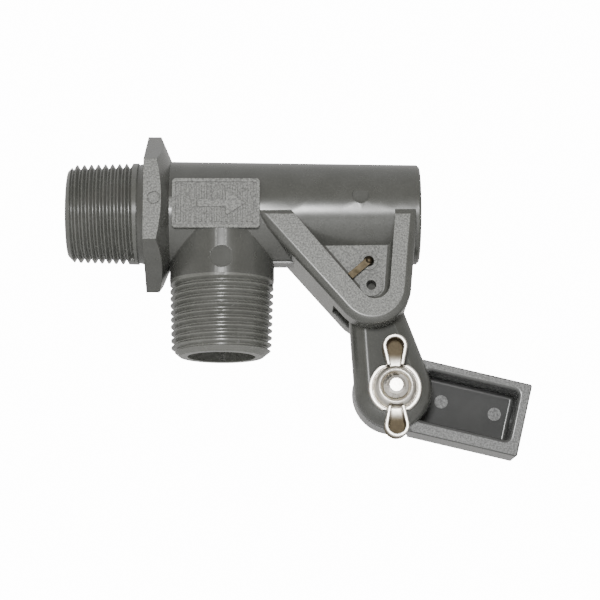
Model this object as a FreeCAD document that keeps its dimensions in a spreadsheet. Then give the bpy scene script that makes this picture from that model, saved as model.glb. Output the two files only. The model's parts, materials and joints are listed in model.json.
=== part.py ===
import FreeCAD, Part

import math
import os

import Sketcher
from FreeCAD import Placement, Rotation, Vector

# Float valve, moulded plastic, with a lever that pushes a plunger on to a seat.
# Origin: centre of the hexagon flange's tank-side face, on the barrel's axis.
# +X runs along the barrel away from the tank, +Z is up, -Y is the badge side.

os.makedirs("parts", exist_ok=True)

SIZES = {
    # pipe threads, 14 to the inch with the standard 1 in 16 taper on diameter
    "thread_pitch": 1.8143,
    "thread_depth": 1.12,
    "thread_root": 0.26,
    "thread_overcut": 0.15,
    "thread_taper": 1.7899,
    "inlet_end_x": -20.2,
    "inlet_end_radius": 12.56,
    "inlet_top_x": -2.1,
    "inlet_top_radius": 13.12,
    "inlet_chamfer": 1.5,
    "inlet_neck_radius": 12.7,
    "inlet_helix_start": -1.51,
    "inlet_helix_radius": 12.507,
    "inlet_helix_length": 18.1,
    "outlet_end_z": -37.3,
    "outlet_end_radius": 12.76,
    "outlet_top_z": -17.8,
    "outlet_top_radius": 13.37,
    "outlet_chamfer_length": 1.7,
    "outlet_face_radius": 10.7,
    "outlet_helix_start": -1.47,
    "outlet_helix_radius": 12.711,
    "outlet_helix_length": 20.0,
    # hexagon flange
    "hex_corner_radius": 20.6,
    "hex_rim": 3.3,
    "hex_root": 6.2,
    # barrel and outlet leg
    "barrel_left_radius": 13.55,
    "barrel_right_radius": 12.88,
    "barrel_end_x": 70.05,
    "barrel_end_chamfer": 0.6,
    "leg_x": 19.4,
    "leg_radius": 13.42,
    # waterway
    "inlet_bore_radius": 7.5,
    "inlet_bore_end_x": 4.0,
    "orifice_radius": 4.5,
    "orifice_start_x": 5.8,
    "chamber_start_x": 7.5,
    "seat_x": 9.0,
    "seat_lip_radius": 5.5,
    "seat_base_radius": 6.5,
    "chamber_radius": 10.3,
    "outlet_bore_radius": 8.67,
    "outlet_step_z": -12.0,
    "outlet_port_radius": 7.2,
    # ears
    "ear_face": 13.45,
    "ear_web": 8.5,
    "ear_slot": 5.0,
    "ear_tip_left_x": 26.5,
    "ear_tip_right_x": 69.1,
    "ear_tip_z": -0.9,
    "ear_bottom_x": 57.54,
    "ear_bottom_z": -21.0,
    "ear_bottom_radius": 9.75,
    "ear_edge_round": 2.0,
    "rib_tip_left_x": 33.75,
    "rib_tip_right_x": 63.6,
    "rib_bottom_x": 58.0,
    "rib_bottom_z": -20.55,
    "rib_bottom_radius": 3.85,
    "rib_floor_round": 1.4,
    "under_rib_left_x": 28.0,
    "under_rib_right_x": 42.0,
    "under_rib_bottom_z": -13.45,
    "under_rib_half": 3.0,
    "gap_wall_top_x": 36.72,
    "gap_wall_top_z": -8.0,
    "gap_wall_end_x": 49.6,
    "gap_wall_end_z": -23.19,
    "gap_wall_tip_x": 47.64,
    "gap_wall_tip_z": -24.9,
    "pivot_x": 56.75,
    "pivot_z": -14.0,
    "pivot_hole_radius": 1.35,
    "spare_hole_x": 57.34,
    "spare_hole_z": -20.15,
    "spare_hole_radius": 1.25,
    "spare_ring_radius": 2.95,
    "pivot_ring_radius": 2.25,
    "ring_height": 0.35,
    "finger_port_left_x": 50.2,
    "finger_port_right_x": 63.0,
    "finger_port_top_z": -6.0,
    "finger_port_bottom_z": -14.2,
    # round mould marks
    "leg_mark_x": 19.6,
    "leg_mark_z": -13.7,
    "leg_mark_radius": 2.8,
    "barrel_mark_x": 54.6,
    "barrel_mark_z": 2.2,
    "barrel_mark_radius": 2.1,
    "flange_mark_x": 2.7,
    "flange_mark_z": 0.2,
    "flange_mark_outer": 1.65,
    "flange_mark_inner": 1.4,
    "mark_depth": 0.3,
    # badge plaque
    "plaque_left_x": 7.04,
    "plaque_right_x": 29.14,
    "plaque_bottom_z": -6.5,
    "plaque_top_z": 6.25,
    "plaque_face": 13.75,
    "plaque_back": 10.8,
    "plaque_line": 0.9,
    "plaque_relief": 0.45,
    "plaque_flute_count": 15,
    "plaque_flute_pitch": 1.3,
    "plaque_flute_width": 0.5,
    # plunger and its seals
    "seal_gap": 1.67,
    "seal_radius": 6.8,
    "seal_thickness": 3.0,
    "seal_pocket_depth": 2.6,
    "nose_radius": 8.4,
    "nose_length": 4.6,
    "stem_radius": 5.0,
    "land_start_x": 30.5,
    "land_radius": 10.22,
    "plunger_end_x": 66.0,
    "plunger_hollow_radius": 6.6,
    "plunger_hollow_x": 62.6,
    "ring_groove_a_x": 34.2,
    "ring_groove_b_x": 41.6,
    "ring_groove_width": 3.0,
    "ring_groove_radius": 7.95,
    "ring_centre_radius": 9.13,
    "ring_section_radius": 1.15,
    "finger_slot_half": 4.0,
    "finger_slot_width": 3.2,
    "finger_slot_top_z": 3.0,
    "plunger_flat_z": -7.6,
    "plunger_flat_half": 8.2,
    # lever
    "lever_half": 4.8,
    "lobe_x": 63.34,
    "lobe_z": -45.8,
    "lobe_radius": 9.95,
    "lobe_centre_x": 63.11,
    "boss_x": 56.12,
    "boss_radius": 5.1,
    "lever_edge_round": 4.3,
    "lap_radius": 13.2,
    "finger_half": 1.9,
    "finger_depth": 2.9,
    "finger_head_z": -1.6,
    "finger_head_radius": 3.9,
    "lever_pin_hole_radius": 1.26,
    "lever_bolt_hole_radius": 3.23,
    # split pin
    "pin_radius": 1.2,
    "pin_near_y": -9.4,
    "pin_far_y": 9.3,
    "pin_leg_length": 6.3,
    "pin_leg_half_width": 0.88,
    "pin_leg_thickness": 1.1,
    "pin_leg_angle": 221.0,
    "pin_eye_radius": 1.75,
    "pin_eye_wire": 0.6,
    # float arm, in its own frame with the bolt on the origin, before it is tilted
    "arm_tilt": 13.2,
    "arm_gap": 0.05,
    "arm_end": 34.15,
    "arm_top": 9.6,
    "arm_bottom": -9.35,
    "arm_depth": 12.7,
    "arm_disc_radius": 10.4,
    "arm_disc_depth": 8.6,
    "arm_box_start": 6.2,
    "arm_cavity_start": 7.3,
    "arm_cavity_end": 31.2,
    "arm_cavity_top": 7.1,
    "arm_cavity_bottom": -5.75,
    "arm_floor_depth": 11.4,
    "arm_floor_round": 1.0,
    "arm_corner_round": 1.2,
    "arm_edge_round": 0.6,
    "arm_rim_round": 0.35,
    "arm_lip_round": 0.9,
    "arm_mark_radius": 1.75,
    "arm_mark_height": 0.3,
    "arm_mark_a": 12.9,
    "arm_mark_b": 27.1,
    "arm_mark_v": 1.5,
    "rod_hole_radius": 2.6,
    "rod_hole_v": 0.35,
    "rod_hole_depth_y": 6.5,
    # arm bolt and wing nut
    "bolt_radius": 3.18,
    "bolt_tip": 11.3,
    "bolt_dome": 0.9,
    "bolt_dome_radius": 2.35,
    "bolt_head_radius": 5.9,
    "bolt_head_height": 3.2,
    "bolt_square_half": 3.25,
    "bolt_square_length": 3.0,
    "nut_bore_radius": 3.23,
    "nut_base_radius": 6.72,
    "nut_base_thickness": 1.0,
    "nut_cone_radius": 5.45,
    "nut_collar_radius": 4.3,
    "nut_collar_height": 4.6,
    "nut_wing_tip": 13.0,
    "nut_wing_outer": 3.05,
    "nut_wing_inner": 2.15,
    "nut_neck_half": 2.1,
    "nut_throat_half": 1.2,
    "nut_wing_root": 5.2,
    "nut_wing_height": 5.6,
    "nut_wing_floor": 0.7,
    "nut_rim_round": 0.3,
    "nut_gap": 0.05,
    "nut_notch_start": 2.25,
    "nut_notch_end": 3.3,
    "nut_notch_radius": 5.6,
    "nut_turn": -1.0,
}

doc = FreeCAD.newDocument("FloatValve")
sheet = doc.addObject("Spreadsheet::Sheet", "Sizes")
for row, (alias, value) in enumerate(SIZES.items(), start=1):
    sheet.set(f"A{row}", alias)
    sheet.set(f"B{row}", str(value))
    sheet.setAlias(f"B{row}", alias)
doc.recompute()


def bound(text):
    """Turn size names in an expression into references to the sheet."""
    words = []
    word = ""
    for letter in text + " ":
        if letter.isalnum() or letter == "_":
            word += letter
            continue
        words.append("Sizes." + word if word in SIZES else word)
        words.append(letter)
        word = ""
    return "".join(words).strip()


def bind(item, prop, text):
    item.setExpression(prop, bound(text))


def new_body(label):
    body = doc.addObject("PartDesign::Body", label)
    body.Label = label
    return body


def new_sketch(body, label, role, offset=None, shift=None):
    """Sketch on one of the body's own planes, moved along its normal and in the plane."""
    sketch = body.newObject("Sketcher::SketchObject", label)
    plane = [item for item in body.Origin.OriginFeatures if item.Role == role][0]
    sketch.AttachmentSupport = [(plane, "")]
    sketch.MapMode = "FlatFace"
    if shift is not None:
        bind(sketch, "AttachmentOffset.Base.x", shift[0])
        bind(sketch, "AttachmentOffset.Base.y", shift[1])
    if offset is not None:
        bind(sketch, "AttachmentOffset.Base.z", offset)
    return sketch


def pin_point(sketch, geometry, position, x_text, y_text):
    """Hold one sketch point at sizes from the sheet."""
    for kind, text in (("DistanceX", x_text), ("DistanceY", y_text)):
        index = sketch.addConstraint(Sketcher.Constraint(kind, -1, 1, geometry, position, 1.0))
        bind(sketch, f"Constraints[{index}]", text)


def hold_radius(sketch, geometry, text):
    index = sketch.addConstraint(Sketcher.Constraint("Radius", geometry, 1.0))
    bind(sketch, f"Constraints[{index}]", text)


def polygon(sketch, corners):
    """Closed outline of straight lines through corners given as pairs of expressions."""
    count = len(corners)
    first = sketch.GeometryCount
    for index in range(count):
        turn = 2 * math.pi * index / count
        after = 2 * math.pi * (index + 1) / count
        start = Vector(10 * math.cos(turn), 10 * math.sin(turn), 0)
        end = Vector(10 * math.cos(after), 10 * math.sin(after), 0)
        sketch.addGeometry(Part.LineSegment(start, end))
    for index in range(count):
        after = (index + 1) % count
        sketch.addConstraint(Sketcher.Constraint("Coincident", first + index, 2, first + after, 1))
    for index, (x_text, y_text) in enumerate(corners):
        pin_point(sketch, first + index, 1, x_text, y_text)


def circle(sketch, x_text, y_text, radius_text):
    index = sketch.addGeometry(Part.Circle(Vector(1, 1, 0), Vector(0, 0, 1), 1.0))
    pin_point(sketch, index, 3, x_text, y_text)
    hold_radius(sketch, index, radius_text)


def rectangle(sketch, left, right, low, high):
    polygon(sketch, [(left, low), (right, low), (right, high), (left, high)])


def lines_and_arc(sketch, left_tip, right_tip, centre, radius, guess):
    """Two lines falling from a top edge to a round bottom that they meet smoothly."""
    tip_l, tip_r, low_l, low_r, middle, size = guess
    start = math.atan2(low_l[1] - middle[1], low_l[0] - middle[0])
    end = math.atan2(low_r[1] - middle[1], low_r[0] - middle[0])
    ring = Part.Circle(Vector(middle[0], middle[1], 0), Vector(0, 0, 1), size)
    left = sketch.addGeometry(Part.LineSegment(Vector(*tip_l, 0), Vector(*low_l, 0)))
    arc = sketch.addGeometry(Part.ArcOfCircle(ring, start, end))
    right = sketch.addGeometry(Part.LineSegment(Vector(*low_r, 0), Vector(*tip_r, 0)))
    top = sketch.addGeometry(Part.LineSegment(Vector(*tip_r, 0), Vector(*tip_l, 0)))
    sketch.addConstraint(Sketcher.Constraint("Tangent", left, 2, arc, 1))
    sketch.addConstraint(Sketcher.Constraint("Tangent", arc, 2, right, 1))
    sketch.addConstraint(Sketcher.Constraint("Coincident", right, 2, top, 1))
    sketch.addConstraint(Sketcher.Constraint("Coincident", top, 2, left, 1))
    pin_point(sketch, left, 1, *left_tip)
    pin_point(sketch, top, 1, *right_tip)
    pin_point(sketch, arc, 3, *centre)
    hold_radius(sketch, arc, radius)


def pad(body, label, sketch, length, symmetric=False, reverse=False):
    feature = body.newObject("PartDesign::Pad", label)
    feature.Profile = (sketch, [""])
    feature.SideType = "Symmetric" if symmetric else "One side"
    feature.Reversed = reverse
    bind(feature, "Length", length)
    return settle(body, feature, 1)


def pocket(body, label, sketch, length, symmetric=False, reverse=False):
    feature = body.newObject("PartDesign::Pocket", label)
    feature.Profile = (sketch, [""])
    feature.SideType = "Symmetric" if symmetric else "One side"
    feature.Reversed = reverse
    bind(feature, "Length", length)
    return settle(body, feature, -1)


def turned(body, label, sketch, axis, cut=False):
    kind = "PartDesign::Groove" if cut else "PartDesign::Revolution"
    feature = body.newObject(kind, label)
    feature.Profile = (sketch, [""])
    feature.ReferenceAxis = (sketch, [axis])
    feature.Angle = 360.0
    return settle(body, feature, -1 if cut else 1)


VOLUMES = {}


def settle(body, feature, sign):
    """Recompute, and stop if the feature failed or changed the volume the wrong way."""
    doc.recompute()
    if not feature.isValid() or feature.Shape.isNull():
        raise RuntimeError(f"{feature.Label} failed: {feature.State}")
    before = VOLUMES.get(body.Name, 0.0)
    after = feature.Shape.Volume
    if (after - before) * sign <= 0:
        raise RuntimeError(f"{feature.Label} changed the volume from {before:.1f} to {after:.1f}")
    VOLUMES[body.Name] = after
    return feature


def rounded(body, label, base, radius, wanted):
    """Fillet the base feature's edges that the given test picks."""
    names = [f"Edge{index}" for index, edge in enumerate(base.Shape.Edges, start=1) if wanted(edge)]
    if not names:
        raise RuntimeError(f"{label} found no edges")
    feature = body.newObject("PartDesign::Fillet", label)
    feature.Base = (base, names)
    bind(feature, "Radius", radius)
    doc.recompute()
    if not feature.isValid() or feature.Shape.isNull() or not feature.Shape.isValid():
        raise RuntimeError(f"{label} failed: {feature.State}")
    VOLUMES[body.Name] = feature.Shape.Volume
    return feature


def in_plane(edge, axis, value):
    box = edge.BoundBox
    low, high = {"x": (box.XMin, box.XMax), "y": (box.YMin, box.YMax), "z": (box.ZMin, box.ZMax)}[axis]
    return abs(low - value) < 0.01 and abs(high - value) < 0.01


# ---------------------------------------------------------------- valve body
moulding = new_body("moulding")
S = SIZES

# ears: one V-shaped block, hollowed from both sides, then slotted for the lever
ear_outline = new_sketch(moulding, "ear_outline", "XZ_Plane")
lines_and_arc(
    ear_outline,
    ("ear_tip_left_x", "ear_tip_z"),
    ("ear_tip_right_x", "ear_tip_z"),
    ("ear_bottom_x", "ear_bottom_z"),
    "ear_bottom_radius",
    ((26.5, -0.9), (69.1, -0.9), (50.3, -27.6), (67.3, -21.7), (57.5, -21.0), 9.75),
)
ear_block = pad(moulding, "ear_block", ear_outline, "2 * ear_face", symmetric=True)


def is_ear_rim(edge):
    return in_plane(edge, "y", -S["ear_face"]) or in_plane(edge, "y", S["ear_face"])


ear_rounding = rounded(moulding, "ear_rounding", ear_block, "ear_edge_round", is_ear_rim)

for side, offset in (("near", "ear_face + 1"), ("far", "-ear_web")):
    rib_outline = new_sketch(moulding, f"rib_outline_{side}", "XZ_Plane", offset)
    lines_and_arc(
        rib_outline,
        ("rib_tip_left_x", "ear_tip_z + 3"),
        ("rib_tip_right_x", "ear_tip_z + 3"),
        ("rib_bottom_x", "rib_bottom_z"),
        "rib_bottom_radius",
        ((31.0, 1.7), (63.8, 1.7), (55.3, -23.3), (61.8, -20.8), (58.0, -20.6), 3.85),
    )
    recess = pocket(moulding, f"rib_recess_{side}", rib_outline, "ear_face + 1 - ear_web")


def is_recess_floor(edge):
    if in_plane(edge, "z", S["ear_tip_z"]):
        return False
    return in_plane(edge, "y", -S["ear_web"]) or in_plane(edge, "y", S["ear_web"])


recess_rounding = rounded(moulding, "recess_rounding", recess, "rib_floor_round", is_recess_floor)

lever_gap = new_sketch(moulding, "lever_gap", "XZ_Plane", "ear_slot")
polygon(
    lever_gap,
    [
        ("gap_wall_top_x", "gap_wall_top_z"),
        ("gap_wall_end_x", "gap_wall_end_z"),
        ("gap_wall_tip_x", "gap_wall_tip_z"),
        ("gap_wall_tip_x - 4", "gap_wall_tip_z - 3.5"),
        ("gap_wall_tip_x - 4", "-40"),
        ("80", "-40"),
        ("80", "gap_wall_top_z"),
    ],
)
pocket(moulding, "lever_gap_cut", lever_gap, "2 * ear_slot")

for side, offset, flip in (("near", "ear_web - 0.4", False), ("far", "-ear_web + 0.4", True)):
    for name, ring_x, ring_z, ring_radius in (
        ("pivot", "pivot_x", "pivot_z", "pivot_ring_radius"),
        ("spare", "spare_hole_x", "spare_hole_z", "spare_ring_radius"),
    ):
        ring = new_sketch(moulding, f"{name}_ring_{side}", "XZ_Plane", offset)
        circle(ring, ring_x, ring_z, ring_radius)
        pad(moulding, f"{name}_boss_{side}", ring, "0.4 + ring_height", reverse=flip)

under_rib = new_sketch(moulding, "under_rib", "XZ_Plane")
rectangle(under_rib, "under_rib_left_x", "under_rib_right_x", "under_rib_bottom_z", "under_rib_bottom_z + 6")
pad(moulding, "under_rib_pad", under_rib, "2 * under_rib_half", symmetric=True)

# barrel, flange and leg
barrel = new_sketch(moulding, "barrel_profile", "XZ_Plane")
polygon(
    barrel,
    [
        ("inlet_top_x", "0"),
        ("inlet_top_x", "inlet_neck_radius"),
        ("-1.2", "inlet_neck_radius + 0.2"),
        ("-0.4", "inlet_neck_radius + 0.5"),
        ("0.1", "inlet_neck_radius + 1"),
        ("hex_rim", "barrel_left_radius + 0.8"),
        ("hex_root", "barrel_left_radius"),
        ("barrel_end_x - barrel_end_chamfer", "barrel_right_radius"),
        ("barrel_end_x", "barrel_right_radius - barrel_end_chamfer"),
        ("barrel_end_x", "0"),
    ],
)
turned(moulding, "barrel_solid", barrel, "H_Axis")

hexagon = new_sketch(moulding, "hexagon", "YZ_Plane")
polygon(
    hexagon,
    [
        ("0", "hex_corner_radius"),
        ("-hex_corner_radius * cos(30)", "hex_corner_radius / 2"),
        ("-hex_corner_radius * cos(30)", "-hex_corner_radius / 2"),
        ("0", "-hex_corner_radius"),
        ("hex_corner_radius * cos(30)", "-hex_corner_radius / 2"),
        ("hex_corner_radius * cos(30)", "hex_corner_radius / 2"),
    ],
)
pad(moulding, "hexagon_flange", hexagon, "hex_root")
flange_slope = new_sketch(moulding, "flange_slope", "XZ_Plane")
polygon(
    flange_slope,
    [
        ("hex_root", "barrel_left_radius + 0.4"),
        ("hex_rim", "hex_corner_radius + 0.1"),
        ("hex_rim", "hex_corner_radius + 2"),
        ("hex_root + 1", "hex_corner_radius + 2"),
        ("hex_root + 1", "barrel_left_radius + 0.4"),
    ],
)
turned(moulding, "flange_back", flange_slope, "H_Axis", cut=True)

leg = new_sketch(moulding, "leg_profile", "XZ_Plane", shift=("leg_x", "0"))
polygon(
    leg,
    [
        ("0", "0"),
        ("leg_radius", "0"),
        ("leg_radius", "outlet_top_z"),
        ("0", "outlet_top_z"),
    ],
)
turned(moulding, "leg_solid", leg, "V_Axis")

# badge plaque with a plain arrow on a fluted ground
plaque = new_sketch(moulding, "plaque", "XZ_Plane", "plaque_back")
rectangle(plaque, "plaque_left_x", "plaque_right_x", "plaque_bottom_z", "plaque_top_z")
plaque_pad = pad(moulding, "plaque_block", plaque, "plaque_face - plaque_back")


def is_plaque_corner(edge):
    box = edge.BoundBox
    upright = box.XLength < 0.01 and box.ZLength < 0.01
    at_side = min(abs(box.XMin - S["plaque_left_x"]), abs(box.XMin - S["plaque_right_x"])) < 0.01
    return upright and at_side and abs(box.YMin + S["plaque_face"]) < 0.01


rounded(moulding, "plaque_corners", plaque_pad, "0.9", is_plaque_corner)
field = new_sketch(moulding, "plaque_field", "XZ_Plane", "plaque_face")
rectangle(
    field,
    "plaque_left_x + plaque_line",
    "plaque_right_x - plaque_line",
    "plaque_bottom_z + plaque_line",
    "plaque_top_z - plaque_line",
)
pocket(moulding, "plaque_field_cut", field, "plaque_relief")
arrow = new_sketch(moulding, "plaque_arrow", "XZ_Plane", "plaque_face - plaque_relief - 0.2")
polygon(
    arrow,
    [
        ("plaque_left_x + 6.5", "-1.1"),
        ("plaque_left_x + 13.5", "-1.1"),
        ("plaque_left_x + 13.5", "-3.4"),
        ("plaque_left_x + 18.5", "-0.1"),
        ("plaque_left_x + 13.5", "3.2"),
        ("plaque_left_x + 13.5", "0.9"),
        ("plaque_left_x + 6.5", "0.9"),
    ],
)
pad(moulding, "plaque_arrow_pad", arrow, "plaque_relief + 0.2")
flutes = new_sketch(moulding, "plaque_flutes", "XZ_Plane", "plaque_face - plaque_relief - 0.2")
for index in range(S["plaque_flute_count"]):
    left = f"plaque_left_x + 1.7 + {index} * plaque_flute_pitch"
    rectangle(flutes, left, f"{left} + plaque_flute_width", "plaque_bottom_z + 1.6", "plaque_top_z - 1.6")
pad(moulding, "plaque_flute_pads", flutes, "plaque_relief")

# waterway
waterway = new_sketch(moulding, "waterway", "XZ_Plane")
polygon(
    waterway,
    [
        ("inlet_end_x - 1", "0"),
        ("inlet_end_x - 1", "inlet_bore_radius"),
        ("inlet_bore_end_x", "inlet_bore_radius"),
        ("orifice_start_x", "orifice_radius"),
        ("seat_x", "orifice_radius"),
        ("seat_x", "seat_lip_radius"),
        ("chamber_start_x", "seat_base_radius"),
        ("chamber_start_x", "chamber_radius"),
        ("barrel_end_x - 0.8", "chamber_radius"),
        ("barrel_end_x + 0.2", "chamber_radius + 1"),
        ("barrel_end_x + 0.2", "0"),
    ],
)
turned(moulding, "waterway_cut", waterway, "H_Axis", cut=True)
for name, radius, top_z in (("bore", "outlet_bore_radius", "outlet_step_z"), ("port", "outlet_port_radius", "0")):
    outlet_hole = new_sketch(moulding, f"outlet_{name}", "XY_Plane", "outlet_end_z - 1")
    circle(outlet_hole, "leg_x", "0", radius)
    pocket(moulding, f"outlet_{name}_cut", outlet_hole, f"{top_z} - outlet_end_z + 1", reverse=True)
finger_port = new_sketch(moulding, "finger_port", "XY_Plane", "finger_port_bottom_z")
rectangle(finger_port, "finger_port_left_x", "finger_port_right_x", "-ear_slot", "ear_slot")
pocket(moulding, "finger_port_cut", finger_port, "finger_port_top_z - finger_port_bottom_z", reverse=True)

pivot_holes = new_sketch(moulding, "pivot_holes", "XZ_Plane")
circle(pivot_holes, "pivot_x", "pivot_z", "pivot_hole_radius")
circle(pivot_holes, "spare_hole_x", "spare_hole_z", "spare_hole_radius")
pocket(moulding, "pivot_hole_cuts", pivot_holes, "3 * ear_face", symmetric=True)

# round marks left by the mould
MARKS = {
    "leg": ("leg_radius", ("leg_mark_radius",)),
    "barrel": ("barrel_right_radius", ("barrel_mark_radius",)),
    "flange": ("hex_corner_radius * cos(30)", ("flange_mark_outer", "flange_mark_inner")),
}
for name, (surface, radii) in MARKS.items():
    marks = new_sketch(moulding, f"mould_marks_{name}", "XZ_Plane", f"{surface} + 1")
    for radius in radii:
        circle(marks, f"{name}_mark_x", f"{name}_mark_z", radius)
    pocket(moulding, f"mould_mark_{name}_cut", marks, "1 + mark_depth")


def threaded_end(label, corners, place, rotation):
    """Tapered pipe end with its bore, drawn along +Z from its end face, then put in place.

    The thread is cut by a V-shaped cutter that follows a tapered right-hand helix.
    """
    stub = new_body(f"{label}_stub")
    stub_profile = new_sketch(stub, f"{label}_stub_profile", "XZ_Plane")
    polygon(stub_profile, corners)
    turned(stub, f"{label}_stub_solid", stub_profile, "V_Axis")

    radius = f"{label}_helix_radius"
    helix = doc.addObject("Part::Helix", f"{label}_helix")
    bind(helix, "Pitch", "thread_pitch")
    bind(helix, "Height", f"{label}_helix_length")
    bind(helix, "Radius", radius)
    bind(helix, "Angle", "thread_taper")
    groove = doc.addObject("Sketcher::SketchObject", f"{label}_groove")
    groove.Placement = Placement(Vector(0, 0, 0), Rotation(Vector(1, 0, 0), 90))
    slope = "tan(30) * (thread_depth + thread_overcut)"
    polygon(
        groove,
        [
            (f"{radius} - thread_depth", "-thread_root / 2"),
            (f"{radius} + thread_overcut", f"-thread_root / 2 - {slope}"),
            (f"{radius} + thread_overcut", f"thread_root / 2 + {slope}"),
            (f"{radius} - thread_depth", "thread_root / 2"),
        ],
    )
    cutter = doc.addObject("Part::Sweep", f"{label}_cutter")
    cutter.Sections = [groove]
    cutter.Spine = (helix, [])
    cutter.Solid = True
    cutter.Frenet = True
    bind(cutter, "Placement.Base.z", f"{label}_helix_start")
    cut = doc.addObject("Part::Cut", f"{label}_thread")
    cut.Base = stub
    cut.Tool = cutter
    cut.Placement.Rotation = rotation
    for axis, text in zip("xyz", place):
        bind(cut, f"Placement.Base.{axis}", text)
    doc.recompute()
    if stub.Shape.Volume - cut.Shape.Volume < 0.5 * cutter.Shape.Volume:
        raise RuntimeError(f"{label} thread was not cut")
    return cut


inlet_thread = threaded_end(
    "inlet",
    [
        ("inlet_bore_radius", "0"),
        ("inlet_end_radius - inlet_chamfer", "0"),
        ("inlet_end_radius + inlet_chamfer / 32", "inlet_chamfer"),
        ("inlet_top_radius", "inlet_top_x - inlet_end_x"),
        ("inlet_bore_radius", "inlet_top_x - inlet_end_x"),
    ],
    ("inlet_end_x", "0", "0"),
    Rotation(Vector(0, 1, 0), 90),
)
outlet_thread = threaded_end(
    "outlet",
    [
        ("outlet_bore_radius", "0"),
        ("outlet_face_radius", "0"),
        ("outlet_end_radius + 0.05", "outlet_chamfer_length"),
        ("outlet_top_radius", "outlet_top_z - outlet_end_z"),
        ("outlet_bore_radius", "outlet_top_z - outlet_end_z"),
    ],
    ("leg_x", "0", "outlet_end_z"),
    Rotation(),
)
valve_body = doc.addObject("Part::MultiFuse", "valve_body")
valve_body.Shapes = [moulding, inlet_thread, outlet_thread]
valve_body.Label = "valve_body"
doc.recompute()

# ---------------------------------------------------------------- plunger and seals
plunger = new_body("plunger")
profile = new_sketch(plunger, "plunger_profile", "XZ_Plane")
NOSE = "seat_x + seal_gap + 0.4"
polygon(
    profile,
    [
        (f"{NOSE} + seal_pocket_depth", "0"),
        (f"{NOSE} + seal_pocket_depth", "seal_radius"),
        (NOSE, "seal_radius"),
        (NOSE, "nose_radius"),
        (f"{NOSE} + nose_length", "nose_radius"),
        (f"{NOSE} + nose_length + 1.5", "stem_radius"),
        ("land_start_x - 2", "stem_radius"),
        ("land_start_x", "land_radius"),
        ("ring_groove_a_x - ring_groove_width / 2", "land_radius"),
        ("ring_groove_a_x - ring_groove_width / 2", "ring_groove_radius"),
        ("ring_groove_a_x + ring_groove_width / 2", "ring_groove_radius"),
        ("ring_groove_a_x + ring_groove_width / 2", "land_radius"),
        ("ring_groove_b_x - ring_groove_width / 2", "land_radius"),
        ("ring_groove_b_x - ring_groove_width / 2", "ring_groove_radius"),
        ("ring_groove_b_x + ring_groove_width / 2", "ring_groove_radius"),
        ("ring_groove_b_x + ring_groove_width / 2", "land_radius"),
        ("plunger_end_x - 0.6", "land_radius"),
        ("plunger_end_x", "land_radius - 0.6"),
        ("plunger_end_x", "plunger_hollow_radius"),
        ("plunger_hollow_x", "plunger_hollow_radius"),
        ("plunger_hollow_x", "0"),
    ],
)
turned(plunger, "plunger_solid", profile, "H_Axis")
slot = new_sketch(plunger, "finger_slot", "XZ_Plane")
rectangle(slot, "pivot_x - finger_slot_half", "pivot_x + finger_slot_half", "-12", "finger_slot_top_z")
pocket(plunger, "finger_slot_cut", slot, "2 * finger_slot_width", symmetric=True)
flat = new_sketch(plunger, "plunger_flat", "XZ_Plane")
rectangle(flat, "pivot_x - plunger_flat_half", "pivot_x + plunger_flat_half", "-12", "plunger_flat_z")
pocket(plunger, "plunger_flat_cut", flat, "30", symmetric=True)

seal_disc = new_body("seal_disc")
profile = new_sketch(seal_disc, "seal_profile", "XZ_Plane")
polygon(
    profile,
    [
        ("seat_x + seal_gap", "0"),
        ("seat_x + seal_gap", "seal_radius - 0.3"),
        ("seat_x + seal_gap + 0.3", "seal_radius"),
        ("seat_x + seal_gap + seal_thickness", "seal_radius"),
        ("seat_x + seal_gap + seal_thickness", "0"),
    ],
)
turned(seal_disc, "seal_solid", profile, "H_Axis")

rings = []
for name, centre in (("front", "ring_groove_a_x"), ("rear", "ring_groove_b_x")):
    ring = doc.addObject("Part::Torus", f"o_ring_{name}")
    bind(ring, "Radius1", "ring_centre_radius")
    bind(ring, "Radius2", "ring_section_radius")
    ring.Placement.Rotation = Rotation(Vector(0, 1, 0), 90)
    bind(ring, "Placement.Base.x", centre)
    rings.append(ring)
o_rings = doc.addObject("Part::Compound", "plunger_o_rings")
o_rings.Links = rings
o_rings.Label = "plunger_o_rings"
doc.recompute()

# ---------------------------------------------------------------- lever
lever = new_body("lever")
outline = new_sketch(lever, "lever_outline", "XZ_Plane")
top_ring = Part.Circle(Vector(S["boss_x"], S["pivot_z"], 0), Vector(0, 0, 1), S["boss_radius"])
low_ring = Part.Circle(Vector(S["lobe_centre_x"], S["lobe_z"], 0), Vector(0, 0, 1), S["lobe_radius"])
top_arc = outline.addGeometry(Part.ArcOfCircle(top_ring, math.radians(20.6), math.radians(183.7)))
left_line = outline.addGeometry(Part.LineSegment(Vector(51.33, -13.93, 0), Vector(53.46, -46.44, 0)))
low_arc = outline.addGeometry(Part.ArcOfCircle(low_ring, math.radians(183.7), math.radians(380.6)))
right_line = outline.addGeometry(Part.LineSegment(Vector(72.61, -42.3, 0), Vector(61.14, -11.8, 0)))
outline.addConstraint(Sketcher.Constraint("Tangent", top_arc, 2, left_line, 1))
outline.addConstraint(Sketcher.Constraint("Tangent", left_line, 2, low_arc, 1))
outline.addConstraint(Sketcher.Constraint("Tangent", low_arc, 2, right_line, 1))
outline.addConstraint(Sketcher.Constraint("Tangent", right_line, 2, top_arc, 1))
pin_point(outline, top_arc, 3, "boss_x", "pivot_z")
pin_point(outline, low_arc, 3, "lobe_centre_x", "lobe_z")
hold_radius(outline, top_arc, "boss_radius")
hold_radius(outline, low_arc, "lobe_radius")
lever_block = pad(lever, "lever_block", outline, "2 * lever_half", symmetric=True)
rounded(
    lever, "lever_rounding", lever_block, "lever_edge_round",
    lambda edge: in_plane(edge, "y", -S["lever_half"]) or in_plane(edge, "y", S["lever_half"]),
)
lap = new_sketch(lever, "lap_circle", "XZ_Plane", "0")
circle(lap, "lobe_x", "lobe_z", "lap_radius")
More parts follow.
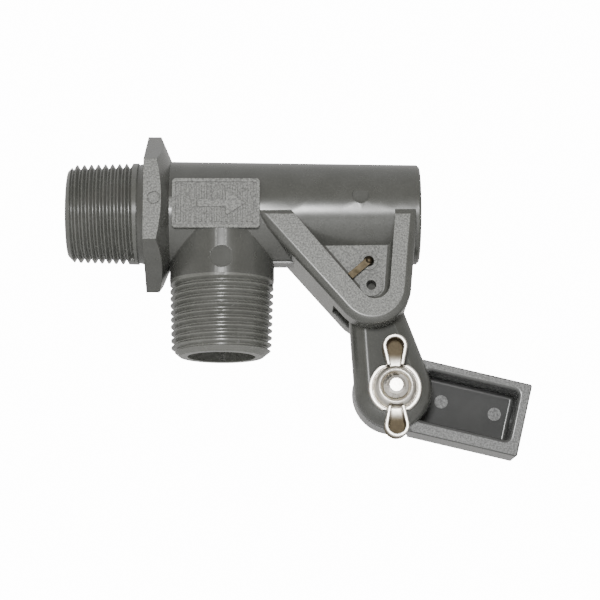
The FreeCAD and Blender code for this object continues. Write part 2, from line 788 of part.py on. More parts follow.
pocket(lever, "lap_cut", lap, "2 * lever_half")
neck = new_sketch(lever, "finger_neck", "XZ_Plane")
rectangle(neck, "pivot_x - finger_half", "pivot_x + finger_half", "pivot_z + 2", "finger_head_z")
pad(lever, "finger_neck_pad", neck, "2 * finger_depth", symmetric=True)
head = new_sketch(lever, "finger_head", "XZ_Plane")
circle(head, "pivot_x", "finger_head_z", "finger_head_radius")
pad(lever, "finger_head_pad", head, "2 * finger_depth", symmetric=True)
holes = new_sketch(lever, "lever_holes", "XZ_Plane")
circle(holes, "pivot_x", "pivot_z", "lever_pin_hole_radius")
circle(holes, "lobe_x", "lobe_z", "lever_bolt_hole_radius")
pocket(lever, "lever_hole_cuts", holes, "4 * lever_half", symmetric=True)

# ---------------------------------------------------------------- split pin
shank = doc.addObject("Part::Cylinder", "pin_shank")
bind(shank, "Radius", "pin_radius")
bind(shank, "Height", "pin_far_y - pin_near_y")
shank.Placement.Rotation = Rotation(Vector(1, 0, 0), -90)
bind(shank, "Placement.Base.x", "pivot_x")
bind(shank, "Placement.Base.y", "pin_near_y")
bind(shank, "Placement.Base.z", "pivot_z")
bent_leg = doc.addObject("Part::Box", "pin_bent_leg")
bind(bent_leg, "Length", "pin_leg_length")
bind(bent_leg, "Width", "pin_leg_thickness")
bind(bent_leg, "Height", "2 * pin_leg_half_width")
bent_leg.Placement.Rotation = Rotation(Vector(0, 1, 0), -S["pin_leg_angle"])
bind(bent_leg, "Placement.Base.x", "pivot_x - pin_leg_half_width * sin(360 - pin_leg_angle)")
bind(bent_leg, "Placement.Base.y", "pin_near_y - pin_leg_thickness + 0.25")
bind(bent_leg, "Placement.Base.z", "pivot_z - pin_leg_half_width * cos(360 - pin_leg_angle)")
bend = doc.addObject("Part::Sphere", "pin_bend")
bind(bend, "Radius", "pin_radius")
bind(bend, "Placement.Base.x", "pivot_x")
bind(bend, "Placement.Base.y", "pin_near_y")
bind(bend, "Placement.Base.z", "pivot_z")
eye = doc.addObject("Part::Torus", "pin_eye")
bind(eye, "Radius1", "pin_eye_radius")
bind(eye, "Radius2", "pin_eye_wire")
bind(eye, "Placement.Base.x", "pivot_x")
bind(eye, "Placement.Base.y", "pin_far_y + pin_eye_radius")
bind(eye, "Placement.Base.z", "pivot_z")
pivot_pin = doc.addObject("Part::MultiFuse", "pivot_pin")
pivot_pin.Shapes = [shank, bent_leg, bend, eye]
pivot_pin.Label = "pivot_pin"
doc.recompute()


def tilt(body):
    """Turn a body drawn with the bolt on the origin to the arm's resting place."""
    body.Placement.Rotation = Rotation(Vector(0, 1, 0), S["arm_tilt"])
    bind(body, "Placement.Base.x", "lobe_x")
    bind(body, "Placement.Base.z", "lobe_z")


# ---------------------------------------------------------------- float arm
float_arm = new_body("float_arm")
disc = new_sketch(float_arm, "arm_disc", "XZ_Plane", "-arm_gap")
circle(disc, "0", "0", "arm_disc_radius")
pad(float_arm, "arm_disc_pad", disc, "arm_disc_depth - arm_gap", reverse=True)
shoulder = new_sketch(float_arm, "arm_shoulder", "XZ_Plane", "-arm_gap")
rectangle(shoulder, "0", "arm_box_start + 1", "arm_bottom", "arm_top")
pad(float_arm, "arm_shoulder_pad", shoulder, "arm_disc_depth - arm_gap", reverse=True)
box = new_sketch(float_arm, "arm_box", "XZ_Plane", "-arm_gap")
rectangle(box, "arm_box_start", "arm_end", "arm_bottom", "arm_top")
box_pad = pad(float_arm, "arm_box_pad", box, "arm_depth - arm_gap", reverse=True)


def is_arm_box_edge(edge):
    """Back edges of the box, and its two corners at the rod's end."""
    at_back = in_plane(edge, "y", S["arm_depth"])
    at_corner = in_plane(edge, "x", S["arm_end"]) and edge.BoundBox.ZLength < 0.01
    return at_back or at_corner


def is_arm_rim(edge):
    """Front edge of the box, all the way round its free sides."""
    return in_plane(edge, "y", S["arm_gap"]) and edge.BoundBox.XMax > S["arm_box_start"] + 2


back_rounding = rounded(float_arm, "arm_back_rounding", box_pad, "arm_edge_round", is_arm_box_edge)
rounded(float_arm, "arm_rim_rounding", back_rounding, "arm_rim_round", is_arm_rim)
cavity = new_sketch(float_arm, "arm_cavity", "XZ_Plane", "1")
rectangle(cavity, "arm_cavity_start", "arm_cavity_end", "arm_cavity_bottom", "arm_cavity_top")
cavity_cut = pocket(float_arm, "arm_cavity_cut", cavity, "arm_floor_depth + 1")


def is_cavity_upright(edge):
    box_size = edge.BoundBox
    along = box_size.XLength < 0.01 and box_size.ZLength < 0.01
    inside = S["arm_cavity_start"] - 0.01 < box_size.XMin < S["arm_cavity_end"] + 0.01
    low = abs(box_size.ZMin - S["arm_cavity_bottom"]) < 0.01
    high = abs(box_size.ZMin - S["arm_cavity_top"]) < 0.01
    return along and inside and (low or high)


corner_rounding = rounded(float_arm, "arm_corner_rounding", cavity_cut, "arm_corner_round", is_cavity_upright)
floor_rounding = rounded(
    float_arm, "arm_floor_rounding", corner_rounding, "arm_floor_round",
    lambda edge: in_plane(edge, "y", S["arm_floor_depth"]),
)


def is_cavity_lip(edge):
    box_size = edge.BoundBox
    inside_u = S["arm_cavity_start"] - 0.01 < box_size.XMin and box_size.XMax < S["arm_cavity_end"] + 0.01
    inside_v = S["arm_cavity_bottom"] - 0.01 < box_size.ZMin and box_size.ZMax < S["arm_cavity_top"] + 0.01
    return in_plane(edge, "y", S["arm_gap"]) and inside_u and inside_v


rounded(float_arm, "arm_lip_rounding", floor_rounding, "arm_lip_round", is_cavity_lip)
arm_marks = new_sketch(float_arm, "arm_marks", "XZ_Plane", "-arm_floor_depth - 0.1")
circle(arm_marks, "arm_mark_a", "arm_mark_v", "arm_mark_radius")
circle(arm_marks, "arm_mark_b", "arm_mark_v", "arm_mark_radius")
pad(float_arm, "arm_mark_pads", arm_marks, "arm_mark_height + 0.1")
bolt_seat = new_sketch(float_arm, "bolt_seat", "XZ_Plane")
circle(bolt_seat, "0", "0", "bolt_radius + 0.12")
pocket(float_arm, "bolt_hole", bolt_seat, "4 * arm_depth", symmetric=True)
square = new_sketch(float_arm, "bolt_square", "XZ_Plane", "-arm_disc_depth + bolt_square_length + 0.2")
rectangle(
    square,
    "-bolt_square_half - 0.1", "bolt_square_half + 0.1",
    "-bolt_square_half - 0.1", "bolt_square_half + 0.1",
)
pocket(float_arm, "bolt_square_cut", square, "bolt_square_length + 1")
rod_hole = new_sketch(float_arm, "rod_hole", "YZ_Plane", "arm_cavity_end - 1")
circle(rod_hole, "rod_hole_depth_y", "rod_hole_v", "rod_hole_radius")
pocket(float_arm, "rod_hole_cut", rod_hole, "10", reverse=True)
tilt(float_arm)

# ---------------------------------------------------------------- arm bolt
arm_bolt = new_body("arm_bolt")
profile = new_sketch(arm_bolt, "bolt_profile", "YZ_Plane")
polygon(
    profile,
    [
        ("-bolt_tip", "0"),
        ("-bolt_tip", "bolt_dome_radius - 0.7"),
        ("-bolt_tip + 0.3", "bolt_dome_radius"),
        ("-bolt_tip + bolt_dome", "bolt_dome_radius + 0.05"),
        ("-bolt_tip + bolt_dome + 0.8", "bolt_radius"),
        ("arm_disc_depth + 0.02", "bolt_radius"),
        ("arm_disc_depth + 0.02", "bolt_head_radius"),
        ("arm_disc_depth + 0.8", "bolt_head_radius"),
        ("arm_disc_depth + 2", "bolt_head_radius - 1.1"),
        ("arm_disc_depth + 2.9", "bolt_head_radius - 3"),
        ("arm_disc_depth + bolt_head_height", "bolt_head_radius - 5"),
        ("arm_disc_depth + bolt_head_height", "0"),
    ],
)
turned(arm_bolt, "bolt_solid", profile, "H_Axis")
square = new_sketch(arm_bolt, "bolt_neck", "XZ_Plane", "-arm_disc_depth - 0.1")
rectangle(square, "-bolt_square_half", "bolt_square_half", "-bolt_square_half", "bolt_square_half")
pad(arm_bolt, "bolt_neck_pad", square, "bolt_square_length")
tilt(arm_bolt)

# ---------------------------------------------------------------- wing nut
wing_nut = new_body("wing_nut")
profile = new_sketch(wing_nut, "nut_profile", "YZ_Plane")
FACE = "-lever_half - nut_gap"
polygon(
    profile,
    [
        (FACE, "nut_bore_radius"),
        (FACE, "nut_base_radius - 0.3"),
        (f"{FACE} - 0.3", "nut_base_radius"),
        (f"{FACE} - nut_base_thickness + 0.3", "nut_base_radius"),
        (f"{FACE} - nut_base_thickness", "nut_base_radius - 0.3"),
        (f"{FACE} - nut_base_thickness", "nut_cone_radius + 0.4"),
        (f"{FACE} - nut_base_thickness + 0.4", "nut_cone_radius + 0.2"),
        (f"{FACE} - nut_base_thickness", "nut_cone_radius"),
        (f"{FACE} - nut_collar_height + 1.6", "nut_cone_radius - 0.25"),
        (f"{FACE} - nut_collar_height + 0.7", "nut_cone_radius - 0.5"),
        (f"{FACE} - nut_collar_height + 0.2", "nut_collar_radius + 0.3"),
        (f"{FACE} - nut_collar_height", "nut_collar_radius - 0.2"),
        (f"{FACE} - nut_collar_height + 0.15", "nut_bore_radius + 0.5"),
        (f"{FACE} - nut_collar_height + 0.8", "nut_bore_radius"),
    ],
)
turned(wing_nut, "nut_solid", profile, "H_Axis")


def wing_outline(label, depth, turn, half, radius):
    """A wing's outline, from its narrow root to its round tip.

    The lower wing has turn 1, and the upper one is the same turned over, with turn -1.
    """
    sketch = new_sketch(wing_nut, label, "XZ_Plane", depth)
    root = -turn * S["nut_wing_root"]
    middle = -turn * (S["nut_wing_tip"] - S["nut_wing_outer"])
    guess = (
        (-turn * S[half], root),
        (turn * S[half], root),
        (-turn * S[radius], middle),
        (turn * S[radius], middle),
        (0, middle),
        S[radius],
    )
    lines_and_arc(
        sketch,
        (f"{-turn} * {half}", f"{-turn} * nut_wing_root"),
        (f"{turn} * {half}", f"{-turn} * nut_wing_root"),
        ("0", f"{-turn} * (nut_wing_tip - nut_wing_outer)"),
        radius,
        guess,
    )
    return sketch


for side, turn in (("upper", -1), ("lower", 1)):
    outer = wing_outline(f"wing_{side}_outer", "lever_half + nut_gap", turn, "nut_neck_half", "nut_wing_outer")
    pad(wing_nut, f"wing_{side}_solid", outer, "nut_wing_height")
    hollow = wing_outline(
        f"wing_{side}_hollow",
        "lever_half + nut_gap + nut_wing_height",
        turn,
        "nut_throat_half",
        "nut_wing_inner",
    )
    pocket(wing_nut, f"wing_{side}_hollow_cut", hollow, "nut_wing_height - nut_wing_floor")
notches = new_sketch(wing_nut, "base_notches", "XZ_Plane", "lever_half - 1")
for left, right in (("nut_notch_start", "nut_notch_end"), ("-nut_notch_end", "-nut_notch_start")):
    rectangle(notches, left, right, "nut_notch_radius", "nut_base_radius + 1")
    rectangle(notches, left, right, "-nut_base_radius - 1", "-nut_notch_radius")
notch_cuts = pocket(wing_nut, "base_notch_cuts", notches, "nut_base_thickness + 2", reverse=True)


def is_wing_rim(edge):
    """Front edges of the wings' walls, except those across their roots."""
    at_front = in_plane(edge, "y", -S["lever_half"] - S["nut_gap"] - S["nut_wing_height"])
    at_root = abs(abs(edge.BoundBox.Center.z) - S["nut_wing_root"]) < 0.01
    return at_front and not at_root


rounded(wing_nut, "wing_rim_rounding", notch_cuts, "nut_rim_round", is_wing_rim)
wing_nut.Placement.Rotation = Rotation(Vector(0, 1, 0), S["nut_turn"])
bind(wing_nut, "Placement.Base.x", "lobe_x")
bind(wing_nut, "Placement.Base.z", "lobe_z")
doc.recompute()

# ---------------------------------------------------------------- checks and export
for item in doc.Objects:
    if "Invalid" in item.State or "Error" in item.State:
        raise RuntimeError(f"{item.Label} is in state {item.State}")

NODES = [
    valve_body, plunger, seal_disc, o_rings, lever,
    pivot_pin, float_arm, arm_bolt, wing_nut,
]
for node in NODES:
    shape = node.Shape
    if shape.isNull() or not shape.isValid():
        raise RuntimeError(f"{node.Label} has no valid shape")
    solids = len(shape.Solids)
    box = shape.BoundBox
    print(
        f"{node.Label}: {solids} solid(s), {shape.Volume:.1f} mm3, "
        f"x {box.XMin:.2f} {box.XMax:.2f}, y {box.YMin:.2f} {box.YMax:.2f}, z {box.ZMin:.2f} {box.ZMax:.2f}"
    )
    shape.exportStep(f"parts/{node.Label}.step")
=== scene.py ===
import json
import math

import bpy
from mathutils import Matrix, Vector


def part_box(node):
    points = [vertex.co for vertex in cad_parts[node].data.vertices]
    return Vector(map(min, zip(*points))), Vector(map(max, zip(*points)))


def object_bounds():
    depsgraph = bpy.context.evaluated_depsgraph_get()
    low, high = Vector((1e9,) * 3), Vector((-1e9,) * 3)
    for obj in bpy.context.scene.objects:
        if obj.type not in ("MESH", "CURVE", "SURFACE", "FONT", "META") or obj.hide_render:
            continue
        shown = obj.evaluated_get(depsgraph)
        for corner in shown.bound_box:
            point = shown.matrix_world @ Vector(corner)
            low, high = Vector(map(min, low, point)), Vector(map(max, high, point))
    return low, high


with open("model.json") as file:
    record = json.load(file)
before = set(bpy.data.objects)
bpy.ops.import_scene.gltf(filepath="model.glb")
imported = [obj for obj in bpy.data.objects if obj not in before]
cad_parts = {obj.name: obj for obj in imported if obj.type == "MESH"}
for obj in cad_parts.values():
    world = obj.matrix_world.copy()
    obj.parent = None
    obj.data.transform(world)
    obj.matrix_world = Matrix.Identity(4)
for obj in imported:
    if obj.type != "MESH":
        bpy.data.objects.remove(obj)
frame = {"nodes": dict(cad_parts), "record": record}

MM = 0.001
LOW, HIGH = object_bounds()
CENTRE = (LOW + HIGH) / 2
NODES = frame["nodes"]
MOUNTS = {mount["name"]: Vector(mount["pos_m"]) for mount in frame["record"]["mounts"]}


# ------------------------------------------------------------------ materials
def new_material(name):
    material = bpy.data.materials.new(name)
    material.use_nodes = True
    tree = material.node_tree
    shader = tree.nodes["Principled BSDF"]
    return material, tree, shader


def node(tree, kind, **values):
    made = tree.nodes.new(kind)
    for key, value in values.items():
        if key in made.inputs:
            made.inputs[key].default_value = value
        else:
            setattr(made, key, value)
    return made


def noise(tree, scale, detail=3.0, roughness=0.5):
    """Noise over the piece's own coordinates, so it stays put on the moving parts."""
    place = node(tree, "ShaderNodeTexCoord")
    made = node(tree, "ShaderNodeTexNoise", Scale=scale, Detail=detail, Roughness=roughness)
    tree.links.new(place.outputs["Object"], made.inputs["Vector"])
    return made


def ramp(tree, source, stops):
    made = node(tree, "ShaderNodeValToRGB")
    elements = made.color_ramp.elements
    while len(elements) < len(stops):
        elements.new(0.5)
    for element, (place, colour) in zip(elements, stops):
        element.position = place
        element.color = (*colour, 1.0)
    tree.links.new(source, made.inputs["Fac"])
    return made


def remap(tree, source, low, high, start=0.0):
    """Stretch a node output that runs from the start value to 1 over low to high."""
    made = node(tree, "ShaderNodeMapRange")
    made.inputs["From Min"].default_value = start
    made.inputs["To Min"].default_value = low
    made.inputs["To Max"].default_value = high
    tree.links.new(source, made.inputs["Value"])
    return made.outputs["Result"]


def bump(tree, height, distance, strength, below=None):
    made = node(tree, "ShaderNodeBump", Strength=strength, Distance=distance)
    tree.links.new(height, made.inputs["Height"])
    if below is not None:
        tree.links.new(below, made.inputs["Normal"])
    return made.outputs["Normal"]


def maths(tree, operation, first, second):
    """One sum on two node outputs or plain numbers."""
    made = node(tree, "ShaderNodeMath", operation=operation)
    for socket, value in zip(made.inputs, (first, second)):
        if isinstance(value, (int, float)):
            socket.default_value = value
        else:
            tree.links.new(value, socket)
    return made.outputs["Value"]


def band(tree, source, low, high):
    """Smooth step of a node output, from 0 at low to 1 at high."""
    made = node(tree, "ShaderNodeMapRange", interpolation_type="SMOOTHSTEP")
    made.inputs["From Min"].default_value = low
    made.inputs["From Max"].default_value = high
    tree.links.new(source, made.inputs["Value"])
    return made.outputs["Result"]


def split_vector(tree, source):
    made = node(tree, "ShaderNodeSeparateXYZ")
    tree.links.new(source, made.inputs["Vector"])
    return made.outputs


def blend(tree, amount, low, high):
    made = node(tree, "ShaderNodeMix", data_type="RGBA")
    tree.links.new(amount, made.inputs[0])
    for socket, value in ((made.inputs[6], low), (made.inputs[7], high)):
        if isinstance(value, tuple):
            socket.default_value = (*value, 1.0)
        else:
            tree.links.new(value, socket)
    return made.outputs[2]


def multiply(tree, first, second):
    made = node(tree, "ShaderNodeMix", data_type="RGBA", blend_type="MULTIPLY")
    made.inputs[0].default_value = 1.0
    tree.links.new(first, made.inputs[6])
    tree.links.new(second, made.inputs[7])
    return made.outputs[2]


# limits of the normal's Y part between which a face counts more and more as flat
SQUARE_ENOUGH = (0.992, 0.999)


def parted_faces(tree, zones):
    """1 on flat faces square to Y, else 0.

    Each zone is a range of distance in mm before the middle plane, negative behind it,
    and the height in mm below which it counts, then its ends along X if it has any. The
    zones leave out the foremost lines of the round surfaces, which aren't flat faces.
    """
    geometry = node(tree, "ShaderNodeNewGeometry")
    across = maths(tree, "ABSOLUTE", split_vector(tree, geometry.outputs["Normal"])["Y"], 0.0)
    flat = band(tree, across, *SQUARE_ENOUGH)
    place = split_vector(tree, geometry.outputs["Position"])
    depth = maths(tree, "MULTIPLY", place["Y"], -1.0)
    inside = 0.0
    for near, far, top, *ends in zones:
        past = maths(tree, "GREATER_THAN", depth, near * MM)
        before = maths(tree, "LESS_THAN", depth, far * MM)
        under = maths(tree, "LESS_THAN", place["Z"], top * MM)
        zone = maths(tree, "MULTIPLY", maths(tree, "MULTIPLY", past, before), under)
        for operation, end in zip(("GREATER_THAN", "LESS_THAN"), ends):
            within = maths(tree, operation, place["X"], end * MM)
            zone = maths(tree, "MULTIPLY", zone, within)
        inside = maths(tree, "ADD", inside, zone)
    return maths(tree, "MULTIPLY", flat, inside)


def scaled(colour, factor):
    return tuple(factor * value for value in colour)


INLET_THREAD_X = -2.0 * MM
OUTLET_THREAD_Z = -17.8 * MM
LEG_REACH = 13.8 * MM
# how strongly painted light lifts the colour of each thread, standing in for light in its grooves
INLET_PAINTED_LIGHT = 0.4
OUTLET_PAINTED_LIGHT = 0.85


def painted_thread_light(tree):
    """How much painted light lifts the colour of the body's threads, and 0 on the rest of the body."""
    place = split_vector(tree, node(tree, "ShaderNodeNewGeometry").outputs["Position"])
    inlet = maths(tree, "LESS_THAN", place["X"], INLET_THREAD_X)
    from_leg = maths(tree, "SUBTRACT", place["X"], MOUNTS["outlet_thread"].x)
    on_leg = maths(tree, "LESS_THAN", maths(tree, "ABSOLUTE", from_leg, 0.0), LEG_REACH)
    low = maths(tree, "LESS_THAN", place["Z"], OUTLET_THREAD_Z)
    outlet = maths(tree, "MULTIPLY", low, on_leg)
    return maths(
        tree,
        "ADD",
        maths(tree, "MULTIPLY", inlet, INLET_PAINTED_LIGHT),
        maths(tree, "MULTIPLY", outlet, OUTLET_PAINTED_LIGHT),
    )


PLASTIC_IOR = 1.52
PLAIN_SHINE = 0.5
LOST_SHINE = 0.35
ERODED_ROUGHNESS = 0.44
MATT_ROUGHNESS = 0.62


def moulded_plastic(name, dark, light, smooth, eroded=(), matt=(), edge=0.2, painted_light=None):
    """Satin moulded plastic: glossy round surfaces, and two kinds of flat face.

    The mould was spark-eroded in the eroded zones, which are speckled and painted lighter: partly
    the finish's own frosted tone, partly painted highlight of the front light. The
    matt zones are plain, dull and dark. Smooth is the round surfaces' roughness, edge
    is the softness of the edges in mm, and the last argument makes the mask of the
    places whose colour is lifted as painted light.
    """
    material, tree, shader = new_material(name)
    speckled = parted_faces(tree, eroded)
    dull = parted_faces(tree, matt)
    cloud = noise(tree, scale=160, detail=4.0)
    colour = ramp(tree, cloud.outputs["Fac"], [(0.3, dark), (0.7, light)]).outputs["Color"]
    # painted light: the threads' colour is lifted towards a lighter copy of the plastic
    if painted_light is not None:
        painted_lighter = ramp(
            tree, cloud.outputs["Fac"], [(0.3, scaled(dark, 1.9)), (0.7, scaled(light, 2.1))]
        )
        colour = blend(tree, painted_light(tree), colour, painted_lighter.outputs["Color"])
    # light flecks on the eroded flats: partly the finish's own frosted tone, partly painted highlight of
    # the front light
    fleck = noise(tree, scale=2300, detail=2.0, roughness=0.6)
    flecks_and_sheen = [(0.42, light), (0.58, scaled(light, 2.3))]
    flecked_and_sheen = ramp(tree, fleck.outputs["Fac"], flecks_and_sheen)
    colour = blend(tree, speckled, colour, flecked_and_sheen.outputs["Color"])
    tree.links.new(colour, shader.inputs["Base Color"])
    shine = maths(tree, "SUBTRACT", PLAIN_SHINE, maths(tree, "MULTIPLY", dull, LOST_SHINE))
    tree.links.new(shine, shader.inputs["Specular IOR Level"])
    smear = noise(tree, scale=420, detail=2.0)
    rough = remap(tree, smear.outputs["Fac"], smooth - 0.04, smooth + 0.04)
    for mask, target in ((speckled, ERODED_ROUGHNESS), (dull, MATT_ROUGHNESS)):
        rough = maths(tree, "ADD", rough, maths(tree, "MULTIPLY", mask, target - smooth))
    tree.links.new(rough, shader.inputs["Roughness"])
    soft = node(tree, "ShaderNodeBevel", samples=4, Radius=edge * MM)
    ripple = noise(tree, scale=200, detail=2.0)
    normal = bump(
        tree, ripple.outputs["Fac"], distance=0.05 * MM, strength=0.25, below=soft.outputs["Normal"]
    )
    speckle = noise(tree, scale=1700, detail=3.0, roughness=0.7)
    strength = maths(tree, "ADD", maths(tree, "MULTIPLY", speckled, 0.95), 0.03)
    grainy = node(tree, "ShaderNodeBump", Distance=0.14 * MM)
    tree.links.new(strength, grainy.inputs["Strength"])
    tree.links.new(speckle.outputs["Fac"], grainy.inputs["Height"])
    tree.links.new(normal, grainy.inputs["Normal"])
    tree.links.new(grainy.outputs["Normal"], shader.inputs["Normal"])
    shader.inputs["IOR"].default_value = PLASTIC_IOR
    return material


# dark brown painted shade for the nut's wing hollows, with the extra roughness that goes with it
HOLLOW_SHADE_COLOUR = (0.125, 0.102, 0.067)
HOLLOW_SHADE_ROUGHNESS = 0.35


def bright_metal(name, dark, light, roughness, edge=0.15, hollow_shade=None):
    """Bright metal with faint handling marks, and painted brown shade in its deep places."""
    material, tree, shader = new_material(name)
    cloud = noise(tree, scale=500, detail=3.0)
    colour = ramp(tree, cloud.outputs["Fac"], [(0.3, dark), (0.7, light)]).outputs["Color"]
    scratch = noise(tree, scale=1400, detail=2.0)
    rough = remap(tree, scratch.outputs["Fac"], roughness - 0.06, roughness + 0.08)
    shader.inputs["Metallic"].default_value = 1.0
    if hollow_shade is not None:
        # painted shade: the deep places turn dark brown and rougher
        painted_shade = hollow_shade(tree)
        colour = blend(tree, painted_shade, colour, HOLLOW_SHADE_COLOUR)
        rough = maths(tree, "ADD", rough, maths(tree, "MULTIPLY", painted_shade, HOLLOW_SHADE_ROUGHNESS))
    tree.links.new(colour, shader.inputs["Base Color"])
    tree.links.new(rough, shader.inputs["Roughness"])
    soft = node(tree, "ShaderNodeBevel", samples=4, Radius=edge * MM)
    dent = noise(tree, scale=700, detail=2.0)
    normal = bump(
        tree, dent.outputs["Fac"], distance=0.05 * MM, strength=0.25, below=soft.outputs["Normal"]
    )
    tree.links.new(normal, shader.inputs["Normal"])
    return material


NUT_LOW, NUT_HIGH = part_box("wing_nut")
NUT_MIDDLE = (NUT_LOW + NUT_HIGH) / 2
NUT_RIM = NUT_LOW.y
HOLLOW_REACH = (5.2 * MM, 8.6 * MM)
HOLLOW_DEPTH = (0.4 * MM, 1.2 * MM)


def wing_hollows(tree):
    """1 deep inside the nut's two wings, where painted shade goes, measured in the nut's own coordinates.
    """
    place = node(tree, "ShaderNodeTexCoord")
    parts = split_vector(tree, place.outputs["Object"])
    reach = maths(tree, "ABSOLUTE", maths(tree, "SUBTRACT", parts["Z"], NUT_MIDDLE.z), 0.0)
    outside = band(tree, reach, *HOLLOW_REACH)
    deep = band(tree, parts["Y"], *(NUT_RIM + depth for depth in HOLLOW_DEPTH))
    return maths(tree, "MULTIPLY", outside, deep)


RUBBER_ROUGHNESS = 0.7


def plain_rubber(name, dark, light):
    material, tree, shader = new_material(name)
    cloud = noise(tree, scale=900, detail=3.0)
    colour = ramp(tree, cloud.outputs["Fac"], [(0.3, dark), (0.7, light)])
    tree.links.new(colour.outputs["Color"], shader.inputs["Base Color"])
    normal = bump(tree, cloud.outputs["Fac"], distance=0.03 * MM, strength=0.4)
    tree.links.new(normal, shader.inputs["Normal"])
    shader.inputs["Roughness"].default_value = RUBBER_ROUGHNESS
    return material


ANY = 90.0
ALL_DEPTHS = ((-ANY, ANY, ANY),)
NEAR_WEB = (8.0, 11.0, ANY)
FAR_WEB = (-11.0, -8.0, ANY)
NEAR_RIBS = (13.435, 18.5, ANY)
FAR_RIBS = (-18.5, -13.435, ANY)
PLAQUE_GROOVES = (13.25, 13.38, 6.3, 7.1, 29.1)
BARREL_MARK = (12.5, 12.66, ANY)
LEG_MARK = (13.05, 13.15, -10.0)
ARM_RIM = (-3.0, 3.0, ANY)
ARM_WALLS = (-10.85, -3.0, ANY)
ARM_DISCS = (-11.3, -10.85, ANY)
ARM_BACK = (-30.0, -11.3, ANY)

body_plastic = moulded_plastic(
    "body_plastic",
    (0.052, 0.053, 0.048),
    (0.063, 0.064, 0.059),
    0.26,
    eroded=(NEAR_WEB, FAR_WEB, NEAR_RIBS, FAR_RIBS, PLAQUE_GROOVES),
    matt=(BARREL_MARK, LEG_MARK),
    painted_light=painted_thread_light,
)
lever_plastic = moulded_plastic(
    "lever_plastic", (0.050, 0.051, 0.046), (0.060, 0.061, 0.056), 0.2, matt=ALL_DEPTHS
)
arm_plastic = moulded_plastic(
    "arm_plastic",
    (0.050, 0.051, 0.050),
    (0.060, 0.061, 0.060),
    0.24,
    eroded=(ARM_RIM, ARM_DISCS),
    matt=(ARM_WALLS, ARM_BACK),
    edge=0.1,
)
inner_plastic = moulded_plastic(
    "inner_plastic", (0.55, 0.54, 0.50), (0.62, 0.61, 0.57), 0.35, matt=ALL_DEPTHS
)
steel = bright_metal(
    "bright_steel", (0.54, 0.51, 0.46), (0.68, 0.66, 0.61), 0.34, edge=0.3, hollow_shade=wing_hollows
)
bolt_steel = bright_metal("bolt_steel", (0.66, 0.63, 0.58), (0.82, 0.79, 0.74), 0.24)
pin_metal = bright_metal("pin_metal", (0.022, 0.018, 0.011), (0.055, 0.044, 0.029), 0.42)
rubber = plain_rubber("seal_rubber", (0.012, 0.012, 0.012), (0.03, 0.03, 0.03))

LOOKS = {
    "valve_body": body_plastic,
    "lever": lever_plastic,
    "float_arm": arm_plastic,
    "plunger": inner_plastic,
    "seal_disc": rubber,
    "plunger_o_rings": rubber,
    "pivot_pin": pin_metal,
    "arm_bolt": bolt_steel,
    "wing_nut": steel,
}
for name, look in LOOKS.items():
    mesh = NODES[name].data
    mesh.materials.clear()
    mesh.materials.append(look)


# ---------------------------------------------------------------------- stage
def emitter(name, colour, strength):
    material, _, shader = new_material(name)
    shader.inputs["Base Color"].default_value = (*colour, 1.0)
    shader.inputs["Roughness"].default_value = 0.9
    shader.inputs["Emission Color"].default_value = (*colour, 1.0)
    shader.inputs["Emission Strength"].default_value = strength
    return material


def flat_sheet(name, corners, material):
    mesh = bpy.data.meshes.new(name)
    mesh.from_pydata(corners, [], [(0, 1, 2, 3)])
    mesh.materials.append(material)
    sheet = bpy.data.objects.new(name, mesh)
    bpy.context.scene.collection.objects.link(sheet)
    return sheet


REACH = 3
FLOOR_Z = LOW.z - 0.12
BACKDROP_Y = 1.2
BACKDROP_GLOW = 14.0
flat_sheet(
    "floor",
    [(x, y, FLOOR_Z) for x, y in ((-REACH, -REACH), (REACH, -REACH), (REACH, REACH), (-REACH, REACH))],
    emitter("pale_floor", (0.9, 0.9, 0.9), 0.0),
)
backdrop = flat_sheet(
    "backdrop",
    [(x, BACKDROP_Y, z) for x, z in ((-REACH, FLOOR_Z), (REACH, FLOOR_Z), (REACH, REACH), (-REACH, REACH))],
    emitter("white_backdrop", (1.0, 1.0, 1.0), BACKDROP_GLOW),
)
# seen by the camera only, so that it neither lights nor mirrors in the object
backdrop.visible_diffuse = False
backdrop.visible_glossy = False

WORLD_STRENGTH = 1.6
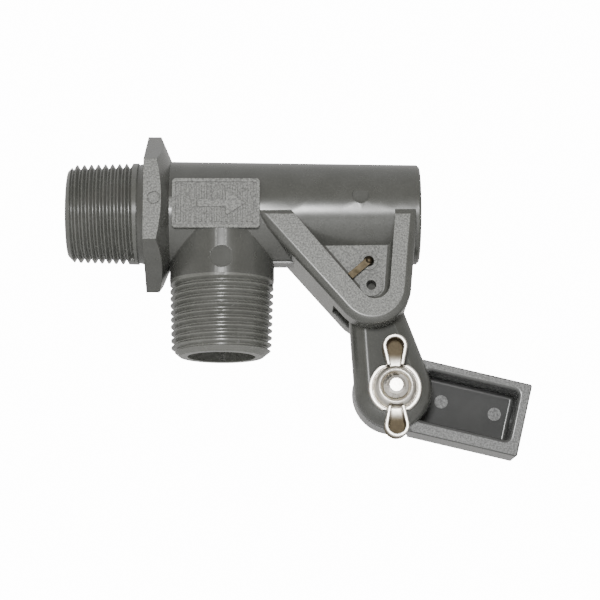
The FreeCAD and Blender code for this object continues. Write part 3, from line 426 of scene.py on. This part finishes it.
# for each axis: how bright the room is from its negative end to its positive end
ROOM = {
    "Z": [(0.0, (0.72, 0.72, 0.68)), (0.45, (0.70, 0.69, 0.66)), (1.0, (0.78, 0.78, 0.78))],
    "Y": [(0.05, (0.30, 0.28, 0.25)), (0.5, (0.92, 0.92, 0.92))],
    "X": [(0.0, (1.0, 1.0, 1.0)), (1.0, (0.68, 0.68, 0.68))],
}


def studio_world():
    """Soft light from all round: darker on the camera's side and towards +X."""
    world = bpy.data.worlds.new("studio")
    world.use_nodes = True
    tree = world.node_tree
    direction = split_vector(tree, node(tree, "ShaderNodeTexCoord").outputs["Generated"])
    height, depth, side = (
        ramp(tree, remap(tree, direction[axis], 0.0, 1.0, -1.0), stops).outputs["Color"]
        for axis, stops in ROOM.items()
    )
    shade = multiply(tree, multiply(tree, height, depth), side)
    background = tree.nodes["Background"]
    tree.links.new(shade, background.inputs["Color"])
    background.inputs["Strength"].default_value = WORLD_STRENGTH
    return world


bpy.context.scene.world = studio_world()


def from_direction(azimuth, elevation):
    """Unit vector towards a place seen at an azimuth and elevation in degrees; -Y is 0."""
    a, e = math.radians(azimuth), math.radians(elevation)
    return Vector((math.sin(a) * math.cos(e), -math.cos(a) * math.cos(e), math.sin(e)))


def put(name, data, target, azimuth, elevation, distance):
    """Place a light or camera so that it looks at the target from a direction."""
    back = from_direction(azimuth, elevation)
    made = bpy.data.objects.new(name, data)
    made.location = target + back * distance
    made.rotation_mode = "QUATERNION"
    made.rotation_quaternion = (-back).to_track_quat("-Z", "Y")
    bpy.context.scene.collection.objects.link(made)
    return made


flash = bpy.data.lights.new("flash", "AREA")
flash.shape = "RECTANGLE"
flash.size, flash.size_y = 0.08, 0.08
flash.energy = 2.8
put("flash", flash, CENTRE, azimuth=-2, elevation=2, distance=0.5)

# --------------------------------------------------------------------- camera
camera_data = bpy.data.cameras.new("camera")
camera_data.sensor_width = 36.0
camera_data.lens = 116.9
AIM = Vector((CENTRE.x + 0.21 * MM, 0.0, CENTRE.z - 1.46 * MM))
camera = put("camera", camera_data, AIM, azimuth=-0.66, elevation=-10.36, distance=0.5)
bpy.context.scene.camera = camera
